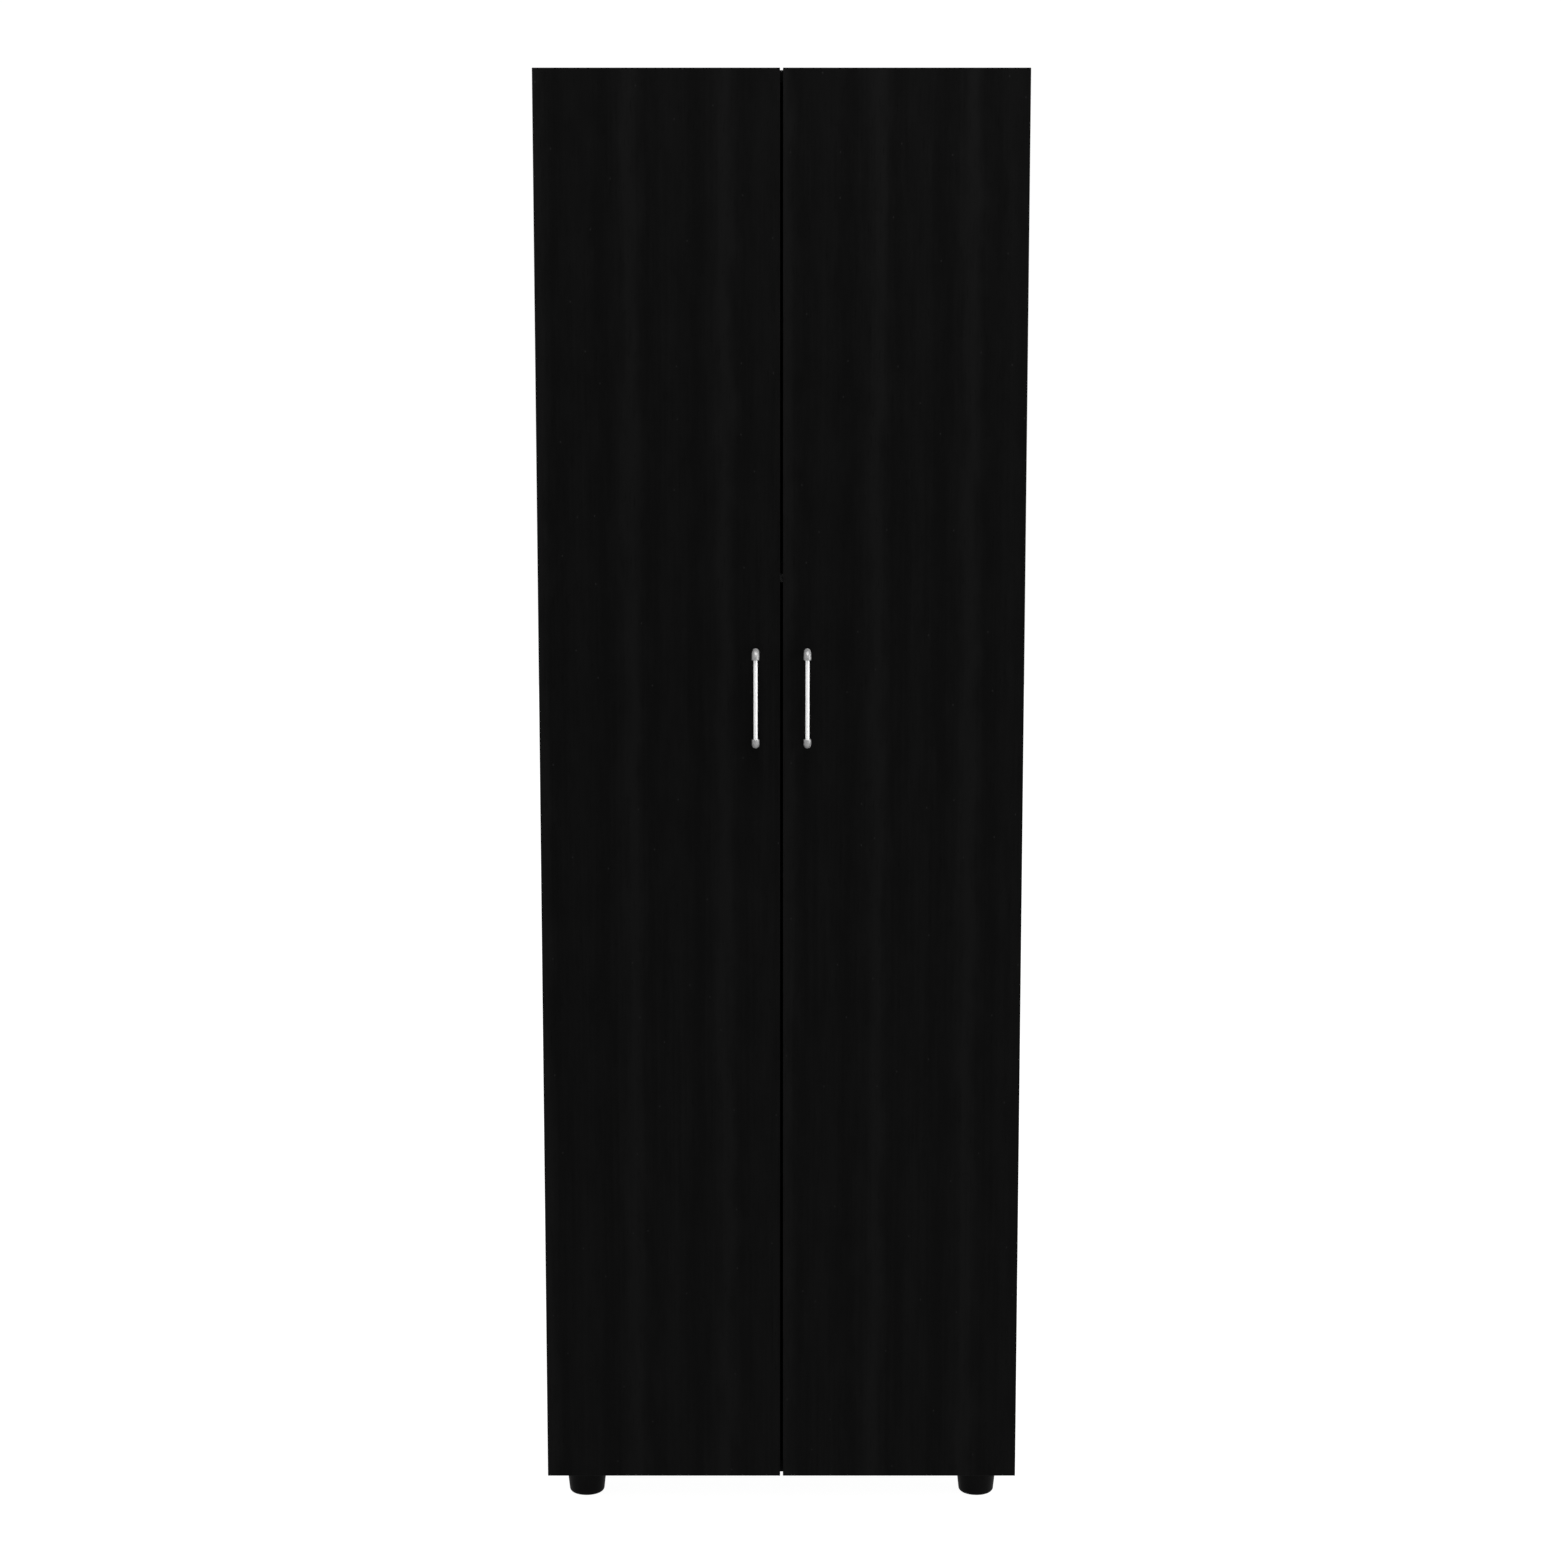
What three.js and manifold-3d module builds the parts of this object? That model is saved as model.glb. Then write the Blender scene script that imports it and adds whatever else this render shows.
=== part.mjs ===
// Tall two-door pantry cabinet: a board carcass on four round feet, two full-overlay
// doors on concealed cup hinges, bar handles, one fixed shelf and three loose ones.
// Millimetres, +Z up, the front faces -Y, the origin is the middle of the footprint.
import * as THREE from 'three';
import { mergeVertices } from 'three/addons/utils/BufferGeometryUtils.js';
import Module from 'manifold-3d';

const wasm = await Module();
wasm.setup();

// ---- Carcass --------------------------------------------------------------------
const BOARD = 15;                  // thickness of every coated board
const WIDTH = 600;                 // outer width
const FOOT_HEIGHT = 40;            // the boards start here
const CARCASS_TOP = 1803;
const OVERALL_DEPTH = 434;         // wall side of the back sheet to the front of the handles
const BACK_SHEET = 3;              // hardboard nailed on the rear edges
const BACK_SHEET_INSET = 2;        // it stops this far inside the outline

// ---- Doors ----------------------------------------------------------------------
const DOOR_WIDTH = 297;
const DOOR_BOTTOM = 41;
const DOOR_TOP = 1805;
const DOOR_MIDDLE_GAP = 3.5;       // slot between the two doors
const DOOR_AIR = 2.5;              // air between a door and the carcass edges

// ---- Shelves --------------------------------------------------------------------
const FIXED_SHELF_UNDERSIDE = 1196;
const LOOSE_SHELVES = { lower: 425, middle: 811, upper: 1492 };   // undersides
const SHELF_WIDTH = 568;
const SHELF_SETBACK = 25;          // from the front edges of the carcass
const SHELF_BACK_AIR = 2;
const PIN_RADIUS = 2.5;
const PIN_REACH = 9;               // length on each side of the panel's face
const REAR_COLUMN_INSET = 53;      // rear column of holes, from the carcass's rear edge
const PIN_COLLAR = { radius: 4, thickness: 0.75 };
const PIN_ROWS = [-2, -1, 0, 1, 2];
const PIN_PITCH = 32;

// ---- Handles and feet -----------------------------------------------------------
const HANDLE_X = 31.75;            // from the middle of the cabinet
const HANDLE_Z = 1046;
const HANDLE_SPACING = 112;        // between the two posts where they leave the door
const BAR_REACH = 29.5;            // from the door's face to the bar's axis
const BAR_RADIUS = 2.5;
const BAR_SEAT = 4;                // how far the bar enters a post's socket
const POST_FOOT_RADIUS = 4;        // at the door
const POST_RADIUS = 4.5;           // from the bend to the socket's mouth
const POST_BEND = 5;               // radius of the centre line's bend
const SOCKET_REACH = 7;            // from the post's axis to the socket's mouth
const FOOT_X = 252;
const FOOT_INSET = 40.5;           // from the front and rear edges of the carcass
const FOOT_TOP_RADIUS = 26.25;
const FOOT_BASE_RADIUS = 22;       // where the tapered wall would meet the floor
const FOOT_ROUND = 4.5;            // radius of the lower edge
const FOOT_POCKET_RADIUS = 7;
const FOOT_BORE_RADIUS = 2.5;
const FOOT_ROOF = 10;              // plastic left above the pocket

// ---- Concealed hinges -------------------------------------------------------------
// Their plan is laid out by u, inwards from the carcass's side, and v, forwards from
// the carcass's front edge.
const HINGE_HEIGHTS = { bottom: 141, middle: 923, top: 1705 };
const PIVOT = [8.25, 12];
const HINGE_PIN_RADIUS = 0.8;
const HINGE_PIN_LENGTH = 14.5;
const PIN_PLAY = 0.15;             // air round the pin in the eye
const EYE_RADIUS = 1.6;
const NECK_U = 22.3;               // inner face of the neck's straight part
const NECK_THICKNESS = 1.8;
const NECK_WIDTH = 9;
const NECK_ROOT_V = -8;            // where the neck leaves the block over the plate
const ARM_BLOCK = [[19, -58], [24, -58], [26, -50], [26, -12], [23.5, -6], [19, -6]];
const ARM_WIDTH = 14;
const CUP_U = 22.25;
const CUP_RADIUS = 17.5;
const CUP_DEPTH = 12.25;
const CUP_WALL = 0.75;
const CUP_LIP = 1.5;               // rim beyond the bore
const CUP_SCREW = { u: 31.75, z: 26, radius: 2 };
const CUP_WING = { half: 6.5, end: 4.5 };
const PLATE_SCREW = { v: -37, z: 16, radius: 2.5 };
const PLATE_RAIL = { back: -58, front: -20, top: 18.7, half: 7 };
const PLATE_WING = { top: 17, half: 7, end: 8 };

// ---- Magnetic catch under the fixed shelf -----------------------------------------
const CATCH_HALF_WIDTH = 23;
const CATCH_HEIGHT = 10;
const CATCH_DEPTH = 17;
const CATCH_PROUD = 1;             // in front of the carcass's edge
const CATCH_EAR = { reach: 9, back: 14, front: 4, thickness: 2, screwInset: 4.5, screwRadius: 2 };
const MAGNET_X = 13;
const MAGNET_POCKET = { half: 7, depth: 4, wall: 2.5 };
const STRIKE = { width: 18, height: 13, thickness: 1.25 };

const GAP = 0.3;                   // clearance where one piece sits in another
const THROUGH = 1;                 // how far a cutter runs past a face

// ---- Places worked out from the sizes ---------------------------------------------
const WALL_Y = OVERALL_DEPTH / 2;
const REAR_Y = WALL_Y - BACK_SHEET;
const DOOR_FACE_Y = BAR_REACH + POST_RADIUS - WALL_Y;
const DOOR_BACK_Y = DOOR_FACE_Y + BOARD;
const FRONT_Y = DOOR_BACK_Y + DOOR_AIR;
const SIDE_X = WIDTH / 2;
const INNER_X = SIDE_X - BOARD;
const PIN_COLUMNS = { front: FRONT_Y - PLATE_SCREW.v, rear: REAR_Y - REAR_COLUMN_INSET };
const SIDES = { left: -1, right: 1 };

// ---- Materials ----------------------------------------------------------------------
function finish(color, roughness, metalness) {
  return new THREE.MeshStandardMaterial({ color, roughness, metalness });
}

const LAMINATE = finish(0x1b1a1a, 0.45, 0);
const HARDBOARD = finish(0x6b4a30, 0.8, 0);
const BAR_METAL = finish(0xf0f0f0, 0.3, 1);
const POST_METAL = finish(0x9a9a9b, 0.2, 1);
const NICKEL = finish(0xb9b9b6, 0.3, 1);
const BLACK_PLASTIC = finish(0x141414, 0.5, 0);
const GREY_PLASTIC = finish(0x8e8e8c, 0.5, 0);

// ---- Helpers ------------------------------------------------------------------------
const cabinet = new THREE.Group();

function piece(name, geometry, material) {
  const mesh = new THREE.Mesh(geometry, material);
  mesh.name = name;
  cabinet.add(mesh);
}

// A closed solid with its shared vertices merged, ready to be joined or cut.
function solid(geometry) {
  const bare = geometry.clone();
  bare.deleteAttribute('normal');
  bare.deleteAttribute('uv');
  const merged = mergeVertices(bare);
  return new wasm.Manifold(new wasm.Mesh({
    numProp: 3,
    vertProperties: new Float32Array(merged.attributes.position.array),
    triVerts: new Uint32Array(merged.index.array),
  }));
}

function geometryOf(manifold) {
  const mesh = manifold.getMesh();
  const geometry = new THREE.BufferGeometry();
  geometry.setAttribute('position', new THREE.BufferAttribute(mesh.vertProperties, 3));
  geometry.setIndex(new THREE.BufferAttribute(mesh.triVerts, 1));
  return geometry;
}

// A box between two opposite corners, given in any order.
function block(cornerA, cornerB) {
  const size = cornerA.map((value, i) => Math.abs(cornerB[i] - value));
  const middle = cornerA.map((value, i) => (value + cornerB[i]) / 2);
  return new THREE.BoxGeometry(...size).translate(...middle);
}

// A round bar centred on a point, along x, y or z.
function bar(axis, middle, length, radius, facets) {
  const shape = new THREE.CylinderGeometry(radius, radius, length, facets);
  if (axis === 'x') shape.rotateZ(Math.PI / 2);
  if (axis === 'z') shape.rotateX(Math.PI / 2);
  return shape.translate(...middle);
}

// A turned shape around its own +Y axis, from [radius, height] points.
function turned(profile, facets) {
  const points = profile.map(([radius, height]) => new THREE.Vector2(radius, height));
  return new THREE.LatheGeometry(points, facets);
}

// Points [u, v] of the hinge plan on one side of the cabinet, as [x, y].
function plan(side, u, v) {
  return [side * (SIDE_X - u), FRONT_Y - v];
}

// An outline in the hinge plan, raised to a given width about the height z.
function planSlab(side, outline, z, width) {
  const points = outline.map(([u, v]) => new THREE.Vector2(...plan(side, u, v)));
  const settings = { depth: width, bevelEnabled: false };
  const shape = new THREE.ExtrudeGeometry(new THREE.Shape(points), settings);
  return shape.translate(0, 0, z - width / 2);
}

// ---- Carcass boards -------------------------------------------------------------------
function pinHeight(underside) {
  return underside - PIN_RADIUS - GAP;
}

// A side board with two columns of blind holes round each loose shelf's place.
function sidePanel(hand, side) {
  let panel = solid(block(
    [side * SIDE_X, FRONT_Y, FOOT_HEIGHT],
    [side * INNER_X, REAR_Y, CARCASS_TOP - BOARD],
  ));
  const length = PIN_REACH + THROUGH;
  const x = side * (INNER_X + PIN_REACH - length / 2);
  for (const underside of Object.values(LOOSE_SHELVES)) {
    for (const y of Object.values(PIN_COLUMNS)) {
      for (const row of PIN_ROWS) {
        const z = pinHeight(underside) + row * PIN_PITCH;
        panel = panel.subtract(solid(bar('x', [x, y, z], length, PIN_RADIUS + GAP, 8)));
      }
    }
  }
  piece(`${hand}_side_panel`, geometryOf(panel), LAMINATE);
}

function carcassBoards() {
  for (const [hand, side] of Object.entries(SIDES)) {
    sidePanel(hand, side);
  }
  const across = (name, reach, underside) => {
    const board = block([-reach, FRONT_Y, underside], [reach, REAR_Y, underside + BOARD]);
    piece(name, board, LAMINATE);
  };
  across('top_panel', SIDE_X, CARCASS_TOP - BOARD);
  across('bottom_panel', INNER_X, FOOT_HEIGHT);
  across('fixed_shelf', INNER_X, FIXED_SHELF_UNDERSIDE);
  const edge = SIDE_X - BACK_SHEET_INSET;
  piece('back_panel', block(
    [-edge, REAR_Y, FOOT_HEIGHT + BACK_SHEET_INSET],
    [edge, WALL_Y, CARCASS_TOP - BACK_SHEET_INSET],
  ), HARDBOARD);
}

// ---- Loose shelves on their pins --------------------------------------------------------
function shelfPin(name, side, y, z) {
  const length = 2 * PIN_REACH - GAP;
  const stem = solid(bar('x', [side * (INNER_X - GAP / 2), y, z], length, PIN_RADIUS, 10));
  const collarX = side * (INNER_X - PIN_COLLAR.thickness / 2);
  const disc = bar('x', [collarX, y, z], PIN_COLLAR.thickness, PIN_COLLAR.radius, 16);
  piece(name, geometryOf(stem.add(solid(disc))), NICKEL);
}

function looseShelves() {
  const half = SHELF_WIDTH / 2;
  for (const [level, underside] of Object.entries(LOOSE_SHELVES)) {
    piece(`${level}_shelf`, block(
      [-half, FRONT_Y + SHELF_SETBACK, underside],
      [half, REAR_Y - SHELF_BACK_AIR, underside + BOARD],
    ), LAMINATE);
    for (const [hand, side] of Object.entries(SIDES)) {
      for (const [end, y] of Object.entries(PIN_COLUMNS)) {
        shelfPin(`${level}_shelf_pin_${hand}_${end}`, side, y, pinHeight(underside));
      }
    }
  }
}

// ---- Feet ---------------------------------------------------------------------------------
// A tapered moulding, round at the floor, with a screw bore up its middle and a wide
// pocket below it.
function foot(name, x, y) {
  const lowerEdge = [0, 1, 2, 3].map((step) => {
    const turn = step * Math.PI / 6;
    const inset = FOOT_ROUND * (1 - Math.sin(turn));
    return [FOOT_BASE_RADIUS - inset, FOOT_ROUND * (1 - Math.cos(turn))];
  });
  const profile = [
    [FOOT_POCKET_RADIUS, 0],
    ...lowerEdge,
    [FOOT_TOP_RADIUS, FOOT_HEIGHT],
    [FOOT_BORE_RADIUS, FOOT_HEIGHT],
    [FOOT_BORE_RADIUS, FOOT_HEIGHT - FOOT_ROOF],
    [FOOT_POCKET_RADIUS, FOOT_HEIGHT - FOOT_ROOF],
    [FOOT_POCKET_RADIUS, 0],
  ];
  const shape = turned(profile, 24).rotateX(Math.PI / 2);
  piece(name, shape.translate(x, y, 0), BLACK_PLASTIC);
}

function feet() {
  const rows = { front: FRONT_Y + FOOT_INSET, rear: REAR_Y - FOOT_INSET };
  for (const [end, y] of Object.entries(rows)) {
    for (const [hand, side] of Object.entries(SIDES)) {
      foot(`foot_${end}_${hand}`, side * FOOT_X, y);
    }
  }
}

// ---- Doors and handles ------------------------------------------------------------------------
// A door leaf with a blind bore in its back for each hinge cup.
function doorLeaf(hand, side) {
  const slot = DOOR_MIDDLE_GAP / 2;
  let leaf = solid(block(
    [side * slot, DOOR_FACE_Y, DOOR_BOTTOM],
    [side * (slot + DOOR_WIDTH), DOOR_BACK_Y, DOOR_TOP],
  ));
  const length = CUP_DEPTH + GAP + THROUGH;
  const y = DOOR_BACK_Y + THROUGH - length / 2;
  for (const z of Object.values(HINGE_HEIGHTS)) {
    const x = side * (SIDE_X - CUP_U);
    leaf = leaf.subtract(solid(bar('y', [x, y, z], length, CUP_RADIUS + GAP, 24)));
  }
  piece(`${hand}_door`, geometryOf(leaf), LAMINATE);
}

// Two posts that bend towards each other, and the bar held in the sockets at their ends.
function handle(hand, side) {
  const x = side * HANDLE_X;
  const barY = DOOR_FACE_Y - BAR_REACH;
  const boreLength = BAR_SEAT + GAP + THROUGH;
  for (const [end, direction] of [['lower', -1], ['upper', 1]]) {
    const z = HANDLE_Z + direction * HANDLE_SPACING / 2;
    const mouth = z - direction * SOCKET_REACH;
    const boreMiddle = [x, barY, mouth - direction * (THROUGH - boreLength / 2)];
    const bore = bar('z', boreMiddle, boreLength, BAR_RADIUS + GAP, 12);
    const post = solid(bentBar(x, postRings(z, direction), 16)).subtract(solid(bore));
    piece(`${hand}_handle_post_${end}`, geometryOf(post), POST_METAL);
  }
  const length = HANDLE_SPACING - 2 * (SOCKET_REACH - BAR_SEAT);
  piece(`${hand}_handle_bar`, bar('z', [x, barY, HANDLE_Z], length, BAR_RADIUS, 16), BAR_METAL);
}

// The rings of a post: straight out of the door, round a quarter bend, into the socket.
function postRings(z, direction) {
  const barY = DOOR_FACE_Y - BAR_REACH;
  const rings = [{ y: DOOR_FACE_Y, z, turn: 0, radius: POST_FOOT_RADIUS }];
  for (let step = 0; step <= 4; step += 1) {
    const turn = step * Math.PI / 8;
    rings.push({
      y: barY + POST_BEND * (1 - Math.sin(turn)),
      z: z - direction * POST_BEND * (1 - Math.cos(turn)),
      turn: direction * turn,
      radius: POST_RADIUS,
    });
  }
  const turn = direction * Math.PI / 2;
  rings.push({ y: barY, z: z - direction * SOCKET_REACH, turn, radius: POST_RADIUS });
  return rings;
}

// A closed round bar whose centre line lies in a plane of constant x. At each ring it
// heads along (-cos turn, -sin turn) in y and z.
function bentBar(x, rings, facets) {
  const points = [];
  for (const { y, z, turn, radius } of rings) {
    for (let i = 0; i < facets; i += 1) {
      const t = i * 2 * Math.PI / facets;
      const out = radius * Math.sin(t);
      const dy = -out * Math.sin(turn);
      const dz = out * Math.cos(turn);
      points.push(x + radius * Math.cos(t), y + dy, z + dz);
    }
  }
  const faces = [];
  const last = (rings.length - 1) * facets;
  for (let i = 0; i < facets; i += 1) {
    const next = (i + 1) % facets;
    for (let ring = 0; ring < last; ring += facets) {
      faces.push(ring + i, ring + next, ring + next + facets);
      faces.push(ring + i, ring + next + facets, ring + i + facets);
    }
    if (i > 0 && next > 0) {
      faces.push(0, next, i);
      faces.push(last, last + i, last + next);
    }
  }
  const geometry = new THREE.BufferGeometry();
  geometry.setAttribute('position', new THREE.Float32BufferAttribute(points, 3));
  geometry.setIndex(faces);
  return geometry;
}

// ---- Concealed hinges ---------------------------------------------------------------------------
// The steel cup pressed into the door, with a rim and two screw wings on the door's back.
function hingeCup(name, side, z) {
  const [x] = plan(side, CUP_U, 0);
  const floor = DOOR_BACK_Y - CUP_DEPTH;
  const rim = DOOR_BACK_Y + CUP_WALL;
  const shell = bar('y', [x, (floor + rim) / 2, z], CUP_DEPTH + CUP_WALL, CUP_RADIUS, 24);
  const lip = bar('y', [x, rim - CUP_WALL / 2, z], CUP_WALL, CUP_RADIUS + CUP_LIP, 24);
  const wingReach = CUP_SCREW.z + CUP_WING.end;
  const [nearX] = plan(side, CUP_SCREW.u - CUP_WING.half, 0);
  const [farX] = plan(side, CUP_SCREW.u + CUP_WING.half, 0);
  const wings = block([nearX, DOOR_BACK_Y, z - wingReach], [farX, rim, z + wingReach]);
  const hollowLength = CUP_DEPTH + THROUGH;
  const hollowY = rim + THROUGH - hollowLength / 2;
  const hollow = bar('y', [x, hollowY, z], hollowLength, CUP_RADIUS - CUP_WALL, 24);
  let cup = solid(shell).add(solid(lip)).add(solid(wings)).subtract(solid(hollow));
  const [screwX] = plan(side, CUP_SCREW.u, 0);
  for (const direction of [-1, 1]) {
    const middle = [screwX, DOOR_BACK_Y, z + direction * CUP_SCREW.z];
    const hole = bar('y', middle, 2 * (CUP_WALL + THROUGH), CUP_SCREW.radius, 12);
    cup = cup.subtract(solid(hole));
  }
  piece(name, geometryOf(cup), NICKEL);
}

// The arm: a block over the mounting plate, then a swan neck round the door's edge to
// the eye that holds the pin.
function hingeArm(name, side, z) {
  const [pivotU, pivotV] = PIVOT;
  const half = NECK_THICKNESS / 2;
  const neck = planSlab(side, [
    [pivotU, pivotV - half],
    [NECK_U - NECK_THICKNESS, pivotV - half],
    [NECK_U - NECK_THICKNESS, NECK_ROOT_V],
    [NECK_U, NECK_ROOT_V],
    [NECK_U, pivotV + half],
    [pivotU, pivotV + half],
  ], z, NECK_WIDTH);
  const body = planSlab(side, ARM_BLOCK, z, ARM_WIDTH);
  const pivot = [...plan(side, pivotU, pivotV), z];
  const eye = bar('z', pivot, NECK_WIDTH, EYE_RADIUS, 16);
  const bore = bar('z', pivot, NECK_WIDTH + 2 * THROUGH, HINGE_PIN_RADIUS + PIN_PLAY, 16);
  const arm = solid(neck).add(solid(body)).add(solid(eye)).subtract(solid(bore));
  piece(name, geometryOf(arm), NICKEL);
}

// The cross-shaped plate screwed to the side panel, with a rail under the arm.
function hingePlate(name, side, z) {
  const corner = (u, v, height) => [...plan(side, u, v), z + height];
  const rail = block(
    corner(BOARD, PLATE_RAIL.back, -PLATE_RAIL.half),
    corner(PLATE_RAIL.top, PLATE_RAIL.front, PLATE_RAIL.half),
  );
  const reach = PLATE_SCREW.z + PLATE_WING.end;
  const wings = block(
    corner(BOARD, PLATE_SCREW.v - PLATE_WING.half, -reach),
    corner(PLATE_WING.top, PLATE_SCREW.v + PLATE_WING.half, reach),
  );
  let plate = solid(rail).add(solid(wings));
  for (const direction of [-1, 1]) {
    const middle = corner(BOARD, PLATE_SCREW.v, direction * PLATE_SCREW.z);
    const length = 2 * (PLATE_WING.top - BOARD + THROUGH);
    plate = plate.subtract(solid(bar('x', middle, length, PLATE_SCREW.radius, 12)));
  }
  piece(name, geometryOf(plate), NICKEL);
}

function hinges() {
  for (const [hand, side] of Object.entries(SIDES)) {
    for (const [level, z] of Object.entries(HINGE_HEIGHTS)) {
      const name = `${hand}_${level}_hinge`;
      hingeCup(`${name}_cup`, side, z);
      hingeArm(`${name}_arm`, side, z);
      hingePlate(`${name}_plate`, side, z);
      const pivot = [...plan(side, ...PIVOT), z];
      piece(`${name}_pin`, bar('z', pivot, HINGE_PIN_LENGTH, HINGE_PIN_RADIUS, 12), NICKEL);
    }
  }
}

// ---- Magnetic catch ---------------------------------------------------------------------------------
// A housing under the fixed shelf with two magnet pockets and two screw ears.
function catchHousing() {
  const front = FRONT_Y - CATCH_PROUD;
  const top = FIXED_SHELF_UNDERSIDE;
  const body = block(
    [-CATCH_HALF_WIDTH, front, top - CATCH_HEIGHT],
    [CATCH_HALF_WIDTH, front + CATCH_DEPTH, top],
  );
  const earReach = CATCH_HALF_WIDTH + CATCH_EAR.reach;
  const ears = block(
    [-earReach, front + CATCH_EAR.front, top - CATCH_EAR.thickness],
    [earReach, front + CATCH_EAR.back, top],
  );
  const screwX = earReach - CATCH_EAR.screwInset;
  const screwY = front + (CATCH_EAR.front + CATCH_EAR.back) / 2;
  const screwLength = 2 * (CATCH_EAR.thickness + THROUGH);
  let housing = solid(body).add(solid(ears));
  for (const side of Object.values(SIDES)) {
    const { half, depth, wall } = MAGNET_POCKET;
    const pocket = block(
      [side * (MAGNET_X - half), front - THROUGH, top - CATCH_HEIGHT + wall],
      [side * (MAGNET_X + half), front + depth, top - wall],
    );
    const hole = bar('z', [side * screwX, screwY, top], screwLength, CATCH_EAR.screwRadius, 12);
    housing = housing.subtract(solid(pocket)).subtract(solid(hole));
  }
  piece('catch_housing', geometryOf(housing), GREY_PLASTIC);
}

function strikePlate(hand, side) {
  const z = FIXED_SHELF_UNDERSIDE - CATCH_HEIGHT / 2;
  const plate = block(
    [side * (MAGNET_X - STRIKE.width / 2), DOOR_BACK_Y, z - STRIKE.height / 2],
    [side * (MAGNET_X + STRIKE.width / 2), DOOR_BACK_Y + STRIKE.thickness, z + STRIKE.height / 2],
  );
  piece(`${hand}_strike_plate`, plate, NICKEL);
}

// ---- The whole cabinet ------------------------------------------------------------------------------
carcassBoards();
looseShelves();
feet();
for (const [hand, side] of Object.entries(SIDES)) {
  doorLeaf(hand, side);
  handle(hand, side);
  strikePlate(hand, side);
}
hinges();
catchHousing();

export default cabinet;
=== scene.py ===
"""Pantry cabinet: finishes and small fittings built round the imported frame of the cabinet.

The boards come from the frame and get eased edges and a wood-grain laminate. The feet,
handles, hinges, shelf pins, strike plates and every small fastener are surfaces worked
out here as grids of points. Lengths are in metres, +Z is up and the doors face -Y.
"""

import math

import bpy
import numpy as np
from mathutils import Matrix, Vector


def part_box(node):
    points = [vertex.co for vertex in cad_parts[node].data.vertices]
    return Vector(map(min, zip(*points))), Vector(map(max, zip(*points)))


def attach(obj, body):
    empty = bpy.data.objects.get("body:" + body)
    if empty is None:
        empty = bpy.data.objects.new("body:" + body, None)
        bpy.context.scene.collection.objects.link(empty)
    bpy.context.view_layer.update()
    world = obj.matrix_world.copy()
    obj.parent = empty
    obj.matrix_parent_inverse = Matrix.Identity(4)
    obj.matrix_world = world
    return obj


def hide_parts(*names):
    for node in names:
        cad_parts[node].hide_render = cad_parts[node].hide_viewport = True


bl_info = {
    "name": "Pantry Cabinet",
    "version": (1, 0, 0),
    "blender": (4, 5, 0),
    "location": "3D View > Sidebar > Pantry",
    "description": "Finishes a tall two-door pantry cabinet with its handles, hinges and fittings",
    "category": "Object",
}

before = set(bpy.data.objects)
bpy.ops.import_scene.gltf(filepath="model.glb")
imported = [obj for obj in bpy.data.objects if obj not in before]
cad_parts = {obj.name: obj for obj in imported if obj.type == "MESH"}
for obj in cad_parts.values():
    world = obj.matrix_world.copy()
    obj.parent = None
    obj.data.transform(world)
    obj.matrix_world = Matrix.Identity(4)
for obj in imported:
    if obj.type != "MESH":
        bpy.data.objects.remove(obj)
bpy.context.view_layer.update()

MM = 0.001
HANDS = {"left": -1, "right": 1}
HINGE_LEVELS = ("bottom", "middle", "top")
SHELF_LEVELS = ("lower", "middle", "upper")
PIN_ENDS = ("front", "rear")
SIDE_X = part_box("right_side_panel")[1].x
INNER_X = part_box("right_side_panel")[0].x
FRONT_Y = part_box("right_side_panel")[0].y
REAR_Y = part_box("right_side_panel")[1].y
CARCASS_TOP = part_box("top_panel")[1].z
DOOR_LOW, DOOR_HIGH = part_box("right_door")
BACK_LOW, BACK_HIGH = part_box("back_panel")

# Radius and height of each kind of screw's head, in millimetres.
HEADS = {
    "foot": (4.2, 2.4), "handle": (4, 2), "cup": (3.6, 1.4), "arm": (3.4, 1.2),
    "plate": (3.8, 1.6), "catch": (3.4, 1.5), "strike": (3, 0.3)}
NAIL_INSET = 5.5 * MM            # from the back sheet's edges
CUP_SCREW_IN = 9.5 * MM          # from the middle of a hinge cup, away from the pin
CUP_SCREW_RISE = 26 * MM
EAR_END = 4.2 * MM               # from a cup's screw to the end of its ear
EAR_SPREAD = 0.27                # half of an ear's width, as an angle
NECK_IN = 13.15 * MM             # from a hinge's pin to the middle of the arm's neck
NECK_WIDTH = 9 * MM
ARM_SCREWS = (9 * MM, 34 * MM)   # from the rear end of a hinge's arm
PLATE_SCREW_BACK = 37 * MM       # from the carcass's front edge
PLATE_SCREW_RISE = 16 * MM
CATCH_SCREW = (4.5 * MM, 9 * MM)    # from the end and from the front of the catch
CAM_RADIUS = 7.4 * MM
CAM_INSET = 34 * MM              # from the face of the board that a cam draws in
BUMPER_X = 24 * MM


# ---- Settings -----------------------------------------------------------------------


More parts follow.
